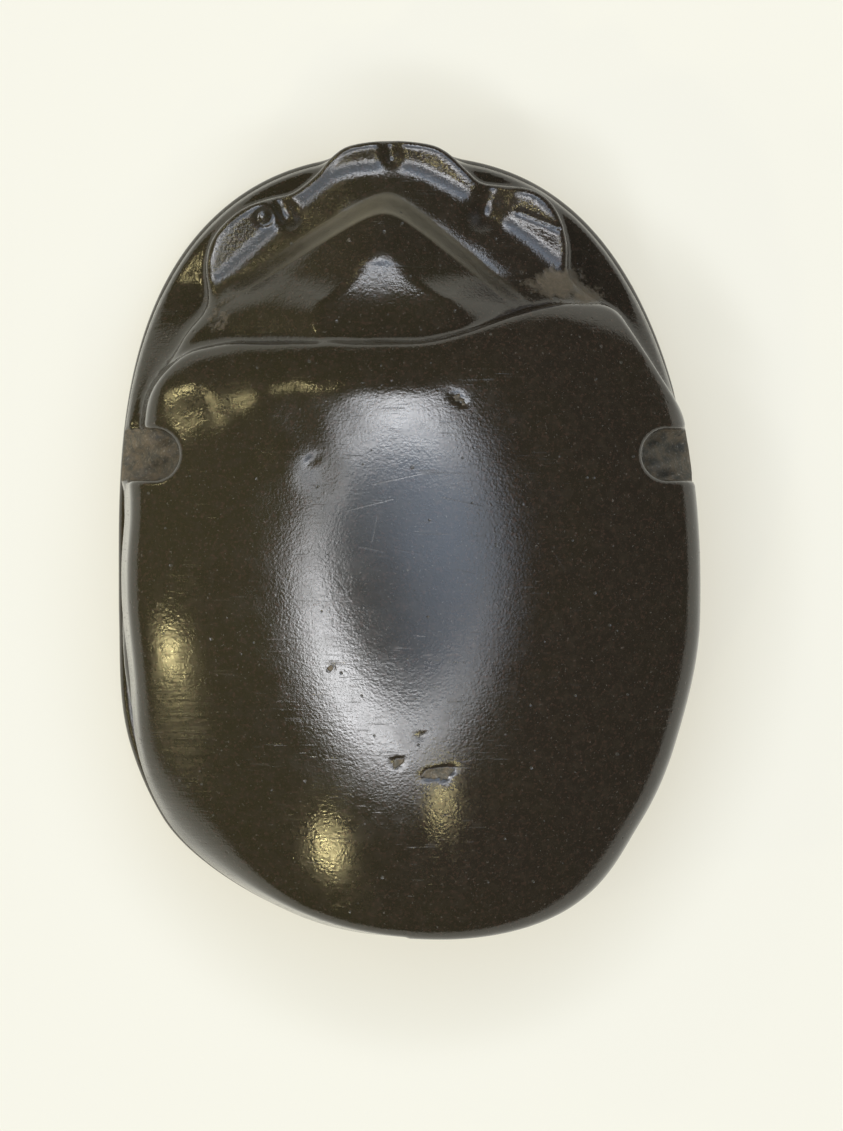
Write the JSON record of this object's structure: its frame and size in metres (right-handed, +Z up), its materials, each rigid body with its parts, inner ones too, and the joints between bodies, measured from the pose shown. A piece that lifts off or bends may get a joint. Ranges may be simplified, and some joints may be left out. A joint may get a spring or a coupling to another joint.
{
  "type": "scarab amulet",
  "caption": "Carved stone scarab beetle amulet with a smooth domed back, a notch in each flank, a ridged head and a flat oval underside.",
  "frame": {"origin": "under the middle of the amulet, on its flat underside", "axes": "+Y towards the head, +Z up from the underside through the back, +X to the right when the head points away"},
  "size_m": [0.0183, 0.025, 0.0106],
  "materials": {
    "stone": "polished"
  },
  "bodies": {
    "root": {"scarab": "stone"}
  },
  "joints": []
}
